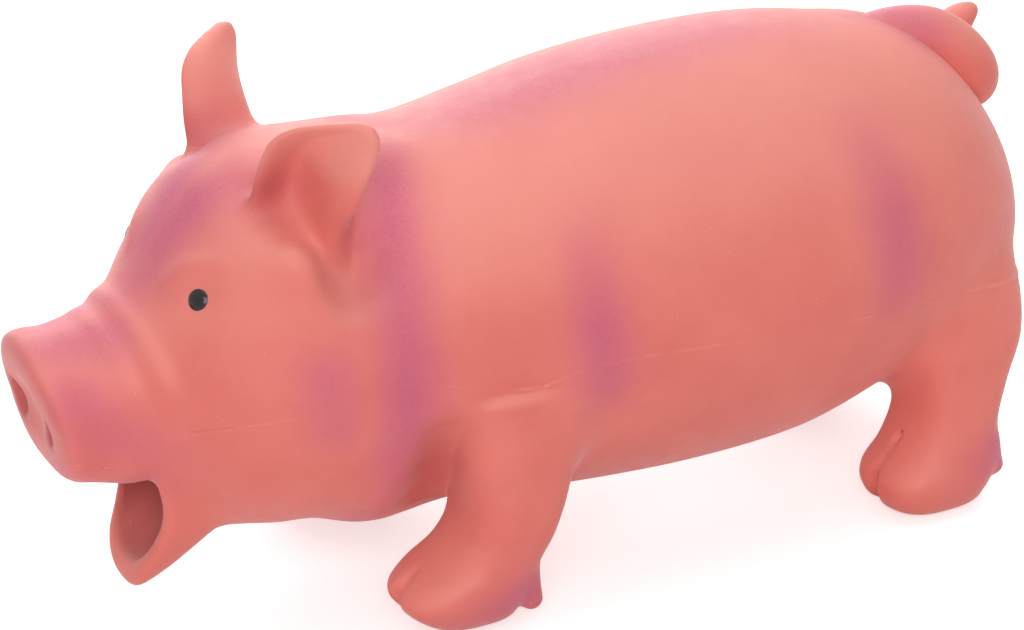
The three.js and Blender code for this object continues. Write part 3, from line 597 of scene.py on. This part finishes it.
def surface(field, axes, passes, coarse=None, extra=None):
    """Smooth triangles of a field, finer where the surface bends sharply or where extra asks."""
    points, faces = net(coarse or field, axes)
    points, normals = settle(field, points)
    for _ in range(passes):
        def wanted(edges):
            p, q = points[edges[:, 0]], points[edges[:, 1]]
            length = np.linalg.norm(p - q, axis=1)
            bend = (normals[edges[:, 0]] * normals[edges[:, 1]]).sum(1) < math.cos(BEND)
            picked = bend & (length > SHORTEST)
            return picked if extra is None else picked | extra((p + q) / 2, length)
        points, faces = refine(points, faces, wanted)
        points, normals = settle(field, points, rounds=2)
    points, normals = relax(field, points, faces, normals)
    return points, faces, normals


def srgb(red, green, blue):
    """Linear colour of one written as it looks on a screen, from 0 to 255."""
    linear = []
    for c in (red, green, blue):
        linear.append(c / 255 / 12.92 if c < 10.3 else ((c / 255 + 0.055) / 1.055) ** 2.4)
    return (*linear, 1)


class Nodes:
    """Short calls for the nodes of a material or of the world."""

    def __init__(self, owner):
        owner.use_nodes = True
        self.owner = owner
        self.tree = owner.node_tree

    def add(self, kind, inputs=(), **settings):
        node = self.tree.nodes.new("ShaderNode" + kind)
        for name, value in settings.items():
            setattr(node, name, value)
        for key, value in dict(inputs).items():
            self.set(node.inputs[key], value)
        return node

    def set(self, socket, value):
        if isinstance(value, bpy.types.NodeSocket):
            self.tree.links.new(value, socket)
        else:
            socket.default_value = value

    def finish(self, **values):
        shader = self.tree.nodes["Principled BSDF"]
        for key, value in values.items():
            self.set(shader.inputs[key.replace("_", " ")], value)
        return self.owner

    def attribute(self, name, output="Fac"):
        return self.add("Attribute", attribute_name=name).outputs[output]

    def noise(self, place, scale, detail=2, output="Fac"):
        inputs = {"Vector": place, "Scale": scale, "Detail": detail}
        return self.add("TexNoise", inputs).outputs[output]

    def between(self, value, low, high, to_low=0.0, to_high=1.0):
        inputs = {"Value": value, "From Min": low, "From Max": high, "To Min": to_low, "To Max": to_high}
        return self.add("MapRange", inputs).outputs["Result"]

    def mix(self, share, first, second):
        node = self.add("Mix", data_type="RGBA")
        sockets = (node.inputs["Factor"], node.inputs[6], node.inputs[7])
        for socket, value in zip(sockets, (share, first, second)):
            self.set(socket, value)
        return node.outputs[2]

    def math(self, operation, first, second):
        return self.add("Math", {0: first, 1: second}, operation=operation).outputs[0]

    def bump(self, height, distance, strength=1.0):
        inputs = {"Height": height, "Distance": distance, "Strength": strength}
        return self.add("Bump", inputs).outputs["Normal"]


def new_material(name):
    return Nodes(bpy.data.materials.new(name))


SALMON, DEEP_SALMON = srgb(238, 128, 116), srgb(232, 120, 109)
AIRBRUSH = srgb(208, 98, 130)
# Deeper red inside the mouth and nostrils, which also paints their shade, and painted shade in the folds
RED_AND_SHADE = srgb(164, 64, 66)
SPECK = srgb(250, 196, 186)
# Pale pink of the painted highlight on faces that look up
HIGHLIGHT_PINK = srgb(250, 168, 155)
BLOOM = srgb(255, 226, 232)
LACQUER, LACQUER_CLOUD = srgb(20, 15, 15), srgb(40, 30, 30)
FIBRE, FIBRE_LIGHT = srgb(216, 214, 208), srgb(246, 245, 241)
SHELL, SHELL_STREAK = srgb(232, 230, 224), srgb(214, 211, 203)
FILM, FILM_STREAK = srgb(226, 196, 150), srgb(206, 172, 122)
PAPER, PAPER_LIGHT = srgb(228, 228, 229), srgb(232, 232, 233)


def latex():
    """Matte dipped latex: soft mottling, airbrushed pink, deeper red and painted shade in mouth, nostrils
    and folds, painted highlight on upward faces, a powdery sheen, fine pits and specks.
    """
    n = new_material("latex")
    place = n.attribute("rest", "Vector")
    mottle = n.between(n.noise(place, 0.06, 3), 0.35, 0.65)
    colour = n.mix(mottle, SALMON, DEEP_SALMON)
    spray = n.between(n.noise(place, 1.6, 2), 0.3, 0.7, 0.86, 1.1)
    # Painted highlight on faces that look up and on the ear tops
    colour = n.mix(n.attribute("painted_highlight"), colour, HIGHLIGHT_PINK)
    colour = n.mix(n.math("MULTIPLY", n.attribute("tint"), spray), colour, AIRBRUSH)
    # Deeper red in the mouth and nostrils, partly painted shade, and painted shade in the folds
    colour = n.mix(n.attribute("mouth"), colour, RED_AND_SHADE)
    specks = n.between(n.noise(place, 1.1, 1), 0.79, 0.82, 0.0, 0.25)
    colour = n.mix(specks, colour, SPECK)
    grain = n.math("ADD", n.noise(place, 2.4, 3), n.math("MULTIPLY", specks, 0.6))
    roughness = n.between(n.noise(place, 0.35, 3), 0.3, 0.7, 0.5, 0.62)
    return n.finish(Base_Color=colour, Roughness=roughness, Normal=n.bump(grain, 0.00012, 0.6),
                    Subsurface_Weight=0.12, Subsurface_Radius=(1.0, 0.4, 0.3), Subsurface_Scale=0.003,
                    Specular_IOR_Level=0.35, Sheen_Weight=0.22, Sheen_Roughness=0.4, Sheen_Tint=BLOOM)


def lacquer():
    n = new_material("eye_lacquer")
    place = n.add("TexCoord").outputs["Object"]
    cloud = n.between(n.noise(place, 900, 3), 0.35, 0.7)
    colour = n.mix(cloud, LACQUER, LACQUER_CLOUD)
    roughness = n.between(n.noise(place, 1500, 2), 0.3, 0.7, 0.16, 0.3)
    return n.finish(Base_Color=colour, Roughness=roughness, Normal=n.bump(cloud, 0.00004),
                    Specular_IOR_Level=0.3, Coat_Weight=0.15)


def wadding():
    n = new_material("polyester_fibre")
    place = n.add("TexCoord").outputs["Object"]
    stretched = n.add("Mapping", {"Vector": place, "Scale": (500, 120, 260)}).outputs["Vector"]
    strands = n.noise(stretched, 3, 6)
    colour = n.mix(strands, FIBRE, FIBRE_LIGHT)
    return n.finish(Base_Color=colour, Roughness=0.95, Sheen_Weight=0.5, Normal=n.bump(strands, 0.0008))


def plastic(name, base, streak, scale, rough):
    n = new_material(name)
    place = n.add("TexCoord").outputs["Object"]
    flow = n.noise(place, scale, 4)
    grain = n.noise(place, scale * 14, 2)
    roughness = n.between(grain, 0.3, 0.7, rough - 0.06, rough + 0.08)
    colour = n.mix(flow, base, streak)
    return n.finish(Base_Color=colour, Roughness=roughness, Normal=n.bump(grain, 0.00003))


def new_object(name, points, faces, material, normals=None, layers=()):
    """A smooth mesh object from points in millimetres; layers are values kept at its points."""
    mesh = bpy.data.meshes.new(name)
    mesh.from_pydata(((points + (SHIFT, 0, 0)) * MM).tolist(), [], faces.tolist())
    mesh.polygons.foreach_set("use_smooth", np.ones(len(mesh.polygons), bool))
    for key, values in dict(layers).items():
        vector = values.ndim == 2
        layer = mesh.attributes.new(key, "FLOAT_VECTOR" if vector else "FLOAT", "POINT")
        layer.data.foreach_set("vector" if vector else "value", values.astype(np.float32).ravel())
    if normals is not None:
        mesh.normals_split_custom_set_from_vertices(normals.tolist())
    mesh.materials.append(material)
    piece = bpy.data.objects.new(name, mesh)
    bpy.context.scene.collection.objects.link(piece)
    return piece


def in_frame(point):
    return tuple((np.asarray(point) + (SHIFT, 0, 0)) * MM)


# Where the skin is painted deeper red, which also paints the shade of these hollows: depth in the mouth,
# below the lip, back from its front, depth in a nostril
MOUTH_FADE, LIP_FADE, MOUTH_FRONT, NOSTRIL_FADE = (-1.6, 1.2), (-1, 1), (-87, -83), (-1.5, 0.5)
# Strength of the deeper red and painted shade in a nostril
NOSTRIL_RED_AND_SHADE = 0.6
# Painted highlight, a pale bloom for the light from above: on faces that look up, and on the ears, which
# rise above the head
TOP_HIGHLIGHT, EAR_HIGHLIGHT, EAR_HIGHLIGHT_RISE, HEAD_END = 0.5, 0.45, (87, 94), -40


def airbrush(points):
    x, y, z = points.T
    tint = np.zeros(len(points))
    for path, radius, _ in PATCHES:
        tint = np.maximum(tint, spray(x, np.abs(y), z, path, radius))
    return tint


def skin_layers(points, normals):
    """Values kept at the skin's points: place at rest, airbrushing, deeper red inside with painted shade
    there and in folds, painted highlight.
    """
    x, y, z = points.T
    a, b = snout_frame(x, z)
    # Deeper red in the mouth and nostrils, which also paints their shade
    inside = step_up(-mouth(x, y, z), *MOUTH_FADE) * step_up(LIP_HEIGHT - z, *LIP_FADE)
    inside = inside * step_up(x, *MOUTH_FRONT)
    nostril = step_up(-ellipsoid(a, np.abs(y), b, *NOSTRIL), *NOSTRIL_FADE)
    # Painted highlight, stronger the more a face looks up, and on the ear tops
    ears = EAR_HIGHLIGHT * step_up(z, *EAR_HIGHLIGHT_RISE) * (x < HEAD_END)
    painted_highlight = np.maximum(TOP_HIGHLIGHT * step_up(normals[:, 2], 0, 1), ears)
    red = np.maximum(inside, nostril * NOSTRIL_RED_AND_SHADE)
    # Painted shade in the folds, as deeper red
    for path, radius in SHADED_FOLDS:
        red = np.maximum(red, FOLD_SHADE * spray(x, np.abs(y), z, path, radius))
    # The mouth layer holds the deeper red of the mouth and nostrils and the painted shade of the folds
    return {"rest": points, "tint": airbrush(points), "mouth": red, "painted_highlight": painted_highlight}


# Planes at which the skin is divided, how far beyond them it bends, and how far each part reaches
LEG_SLOPE = np.array((0, 0.64, -0.77))
LEG_ROOT = np.array((0, 20.5, 16))
LEG_BEND = 7
LEG_SPAN = 24
EAR_FOLD = EAR_ALONG - 0.5 * EAR_ACROSS + 0.25 * EAR_FACE
EAR_FOLD /= np.linalg.norm(EAR_FOLD)
EAR_CUT, EAR_BEND = 5.9, 10
EAR_DEEP, EAR_WIDE = (-2, 11), (-3, 16)
JAW_HINGE = np.array((-66, 0, 26))
JAW_WAY = np.array((-0.745, 0, -0.667))
JAW_CUT, JAW_BEND = 7.5, 6.5
JAW_BELOW, JAW_BEHIND = 31.5, -90
FLANK_CUT, FLANK_BEND = 39, 2.7
FLANK_TILT = 0.015
FLANK_MIDDLE, FLANK_HALF, FLANK_LOW = 28, 40, 30
NECK = -45


def bends(p):
    """Each part of the skin that bends: its node, which points lie in it, start and end of its bend."""
    for word, sign in (("left", -1), ("right", 1)):
        flip = np.array((1, sign, 1))
        for end, rows in (("front", FRONT_LEG), ("rear", REAR_LEG)):
            root, slope = LEG_ROOT * flip, LEG_SLOPE * flip
            inside = ((p - root) @ slope > 0) & (np.abs(p[:, 0] - rows[HIP_ROW, 1]) < LEG_SPAN)
            yield f"{end}_{word}_leg", inside & (p[:, 1] * sign > 0), root, root + slope * LEG_BEND
        along = EAR_FOLD * flip
        start = EAR_ROOT * flip + along * EAR_CUT
        inside = (p - start) @ along > 0
        for way, (middle, half) in ((EAR_FACE, EAR_DEEP), (EAR_ACROSS, EAR_WIDE)):
            inside &= np.abs(((p - start) * flip) @ way - middle) < half
        yield f"{word}_ear", inside, start, start + along * EAR_BEND
        out = np.array((FLANK_TILT, sign, 0))
        start = np.array((0, sign * FLANK_CUT, 0))
        inside = ((p - start) @ out > 0) & (np.abs(p[:, 0] - FLANK_MIDDLE) < FLANK_HALF)
        yield f"{word}_flank", inside & (p[:, 2] > FLANK_LOW), start, start + out * FLANK_BEND
    start = JAW_HINGE + JAW_WAY * JAW_CUT
    inside = ((p - start) @ JAW_WAY > 0) & (p[:, 2] < JAW_BELOW) & (p[:, 0] > JAW_BEHIND)
    yield "lower_jaw", inside, start, start + JAW_WAY * JAW_BEND


# Share of the way from a bend's start to its end
EDGE_SHARE = 0.2
# Grid of the skin, and its finer stretches around the ears
SKIN_BOX = ((-107, 107), (-44, 44), (-2, 103))
SKIN_FINE = (((-66, -42),), ((-35, -10), (10, 35)), ((74, 103),))
SKIN_PASSES = 3
# Edges split along the seam and its nicks: distance from it, longest edge left whole
SEAM_NEAR, SEAM_EDGE, NICK_NEAR, NICK_EDGE = 0.9, 0.45, 0.8, 0.22
SEAM_LEAST, SEAM_SIDE = 0.04, 4


def near_seam(middles, length):
    x, y, z = middles.T
    above = seam_distance(x, z)
    close = (np.abs(above) < SEAM_NEAR) & (length > SEAM_EDGE) & (spline(x, SEAM, 2) > SEAM_LEAST)
    for start, end, height in NICKS:
        along = (x > start - NICK_END) & (x < end + NICK_END)
        close |= along & (np.abs(above - height) < NICK_NEAR) & (length > NICK_EDGE)
    return close & (np.abs(y) > SEAM_SIDE)


def make_skin(material):
    """The skin's pieces: each bending part on its own, the rest divided at the neck."""
    axes = [ruler(*span, SKIN_STEP, fine) for span, fine in zip(SKIN_BOX, SKIN_FINE)]
    points, faces, normals = surface(skin, axes, SKIN_PASSES, shape, near_seam)
    layers = skin_layers(points, normals)
    middles = points[faces].mean(1)
    free = np.ones(len(faces), bool)
    plans = []
    for node, inside, start, end in bends(middles):
        part = free & inside
        free &= ~part
        plans.append((node, part, start, end))
    plans += [("head_skin", free & (middles[:, 0] < NECK), None, None),
              ("trunk_skin", free & (middles[:, 0] >= NECK), None, None)]
    for node, part, start, end in plans:
        used, corners = np.unique(faces[part], return_inverse=True)
        kept = {key: values[used] for key, values in layers.items()}
        corners = corners.reshape(-1, 3)
        piece = new_object(f"latex_{node}", points[used], corners, material, normals[used], kept)
        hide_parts(node)
        if start is None:
            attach(piece, "trunk")
        else:
            begin = start + (end - start) * EDGE_SHARE
            in_frame(begin)
            in_frame(end)
            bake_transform(piece)


TAIL_BOX, TAIL_GRID, TAIL_PASSES = ((54, 104), (-18, 16), (66, 98)), 0.9, 1
ROOT_ROW = 2


def make_tail(material):
    axes = [ruler(*span, TAIL_GRID) for span in TAIL_BOX]
    points, faces, normals = surface(tail, axes, TAIL_PASSES)
    piece = new_object("latex_tail", points, faces, material, normals, skin_layers(points, normals))
    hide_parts("tail")
    root = TAIL[ROOT_ROW, :3]
    in_frame(root)
    in_frame(root + (7, -4, 0))
    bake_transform(piece)


# Painted eyes: half width and half height, height of the dome, depth below the skin
EYE_HALF = (2.3, 2.25)
EYE_HEIGHT, EYE_FOOT = 0.65, 0.5
# How far each eye sits from the middle of the frame's
EYE_OFF = {"left_eye": (-0.6, 0, -0.8), "right_eye": (0.5, 0, -0.8)}
EYE_RINGS, EYE_SIDES, EYE_ROUNDS = 9, 32, 8


def make_eye(node, material):
    """A glossy oval dome on the skin where the frame has the eye."""
    low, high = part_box(node)
    middle = np.array((low + high) / 2) / MM - (SHIFT, 0, 0) + EYE_OFF[node]
    place, normal = settle(skin, middle[None], EYE_ROUNDS)
    place, normal = place[0], normal[0]
    level = np.cross((0, 0, 1), normal)
    level /= np.linalg.norm(level)
    upright = np.cross(normal, level)
    points, faces = [place + normal * EYE_HEIGHT], []
    turns = np.arange(EYE_SIDES) * 2 * math.pi / EYE_SIDES
    for ring in range(1, EYE_RINGS + 1):
        lean = ring / EYE_RINGS * math.pi / 2
        height = (EYE_HEIGHT + EYE_FOOT) * math.cos(lean) - EYE_FOOT
        wide, high_up = (math.sin(lean) * half for half in EYE_HALF)
        for t in turns:
            flat = level * wide * math.cos(t) + upright * high_up * math.sin(t)
            points.append(place + flat + normal * height)
    for k in range(EYE_SIDES):
        after = (k + 1) % EYE_SIDES
        faces.append((0, 1 + k, 1 + after))
        for ring in range(EYE_RINGS - 1):
            a, b = 1 + ring * EYE_SIDES, 1 + (ring + 1) * EYE_SIDES
            faces += [(a + k, b + k, b + after), (a + k, b + after, a + after)]
    last = 1 + (EYE_RINGS - 1) * EYE_SIDES
    faces += [(last, last + k + 1, last + k) for k in range(1, EYE_SIDES - 1)]
    piece = new_object(f"lacquer_{node}", np.array(points), np.array(faces), material)
    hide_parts(node)
    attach(piece, "trunk")


# Wadding: gap to the skin, height of its lumps and their waves, start behind the neck, rounding
FILL_GAP, FILL_LUMP = 4.2, 1.1
FILL_WAVES = ((5, 6), (4.4, 5), (5.2, 7))
FILL_START, FILL_ROUND = NECK + 2, 6
FILL_BOX, FILL_GRID = ((-46, 102), (-42, 42), (8, 96)), 2.6
# Room around the sounder: radius, height over it, rounding inside and at its edge
BARREL_ROOM, BARREL_OVER, BARREL_ROUND, BARREL_EDGE = 15, 3, 5, 4


def fill_field(x, y, z):
    """Lumpy wadding inside the trunk, open around the sounder."""
    low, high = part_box("sound_barrel")
    middle = (low.x + high.x) / 2 / MM - SHIFT
    lumps = 0
    for (p, q), (long, cross) in zip(((x, y), (y, z), (z, x)), FILL_WAVES):
        lumps = lumps + np.sin(p / long + np.sin(q / cross))
    f = trunk(x, y, z) + FILL_GAP + FILL_LUMP * lumps / len(FILL_WAVES)
    f = meet(f, FILL_START - x, FILL_ROUND)
    around = np.sqrt((x - middle) ** 2 + y ** 2) - BARREL_ROOM
    return meet(f, -meet(around, z - high.z / MM - BARREL_OVER, BARREL_ROUND), BARREL_EDGE)


def make_fill(material):
    axes = [ruler(*span, FILL_GRID) for span in FILL_BOX]
    points, faces, normals = surface(fill_field, axes, 0)
    piece = new_object("fibre_wadding", points, faces, material, normals)
    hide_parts("fibre_fill")
    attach(piece, "trunk")
    in_frame((28, 0, 53))
    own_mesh(piece)


def finish_sounder():
    """Finishes for the sounder's pieces, which keep the frame's shapes."""
    shell = plastic("sounder_plastic", SHELL, SHELL_STREAK, 120, 0.42)
    film = plastic("reed_film", FILM, FILM_STREAK, 160, 0.3)
    for node in ("sound_barrel", "vent_cap", "reed_block", "reed_wedge", "reed_tongue"):
        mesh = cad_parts[node].data
        mesh.materials.clear()
        mesh.materials.append(film if node == "reed_tongue" else shell)


# Camera: picture width and focal length in pixels, degrees round from the side and up, distance, target
PHOTO_WIDTH = 1024
FOCAL_PIXELS = 3060
SENSOR = 36
CAMERA_TURN, CAMERA_RISE, CAMERA_DISTANCE = -28, 24.5, 578
CAMERA_TARGET = (-5.5, 0, 44.6)
CLIP = (0.05, 20)


def make_camera():
    turn, rise = math.radians(CAMERA_TURN), math.radians(CAMERA_RISE)
    back = Vector((math.sin(turn) * math.cos(rise), -math.cos(turn) * math.cos(rise), math.sin(rise)))
    data = bpy.data.cameras.new("camera")
    data.sensor_width = SENSOR
    data.lens = FOCAL_PIXELS / PHOTO_WIDTH * SENSOR
    data.clip_start, data.clip_end = CLIP
    camera = bpy.data.objects.new("camera", data)
    camera.location = Vector(in_frame(CAMERA_TARGET)) + back * CAMERA_DISTANCE * MM
    camera.rotation_euler = back.to_track_quat("Z", "Y").to_euler()
    bpy.context.scene.collection.objects.link(camera)
    bpy.context.scene.camera = camera


def seen_directly(n):
    """1 for rays from the camera, in a mirror or through glass, else 0."""
    path = n.add("LightPath").outputs
    seen = n.math("MAXIMUM", path["Is Camera Ray"], path["Is Glossy Ray"])
    return n.math("MAXIMUM", seen, path["Is Transmission Ray"])


# Floor: half its side in metres, and the light it adds where it is seen directly
FLOOR_HALF = 3.0
FLOOR_LIFT = 0.58


def make_floor():
    n = new_material("floor")
    paper = n.noise(n.add("TexCoord").outputs["Object"], 40, 3)
    n.finish(Base_Color=n.mix(paper, PAPER, PAPER_LIGHT), Roughness=0.9)
    glow = n.add("Emission", {"Strength": n.math("MULTIPLY", seen_directly(n), FLOOR_LIFT)})
    nodes = n.tree.nodes
    both = n.add("AddShader", {0: nodes["Principled BSDF"].outputs[0], 1: glow.outputs[0]})
    n.set(nodes["Material Output"].inputs["Surface"], both.outputs[0])
    h = FLOOR_HALF
    mesh = bpy.data.meshes.new("floor")
    mesh.from_pydata([(-h, -h, 0), (h, -h, 0), (h, h, 0), (-h, h, 0)], [], [(0, 1, 2, 3)])
    mesh.materials.append(n.owner)
    floor = bpy.data.objects.new("floor", mesh)
    bpy.context.scene.collection.objects.link(floor)


WORLD_LEVEL = 0.31
AIM = (0, 0, 45)
# Lamps: place from the toy's middle and side length in metres, watts
LAMPS = {
    "top": ((0.1, 0.05, 0.9), 0.9, 3.3),
    "key": ((-0.44, -0.75, 0.53), 0.5, 3.9),
    "back": ((0.2, 0.85, 0.5), 0.8, 6.0),
}


def make_light():
    world = bpy.data.worlds.new("studio")
    bpy.context.scene.world = world
    n = Nodes(world)
    strength = n.between(seen_directly(n), 0, 1, WORLD_LEVEL, 1.0)
    sky = n.tree.nodes["Background"]
    n.set(sky.inputs["Color"], (1, 1, 1, 1))
    n.set(sky.inputs["Strength"], strength)
    aim = Vector(in_frame(AIM))
    for name, (place, side, watts) in LAMPS.items():
        data = bpy.data.lights.new(name, "AREA")
        data.size = side
        data.energy = watts
        lamp = bpy.data.objects.new(name, data)
        lamp.location = place
        lamp.rotation_euler = (Vector(place) - aim).to_track_quat("Z", "Y").to_euler()
        bpy.context.scene.collection.objects.link(lamp)


def main():
    skin_material = latex()
    eye_material = lacquer()
    make_skin(skin_material)
    make_tail(skin_material)
    for node in ("left_eye", "right_eye"):
        make_eye(node, eye_material)
    make_fill(wadding())
    finish_sounder()
    make_camera()
    make_floor()
    make_light()
    bpy.context.scene.view_settings.view_transform = "Standard"


main()
bpy.context.view_layer.update()
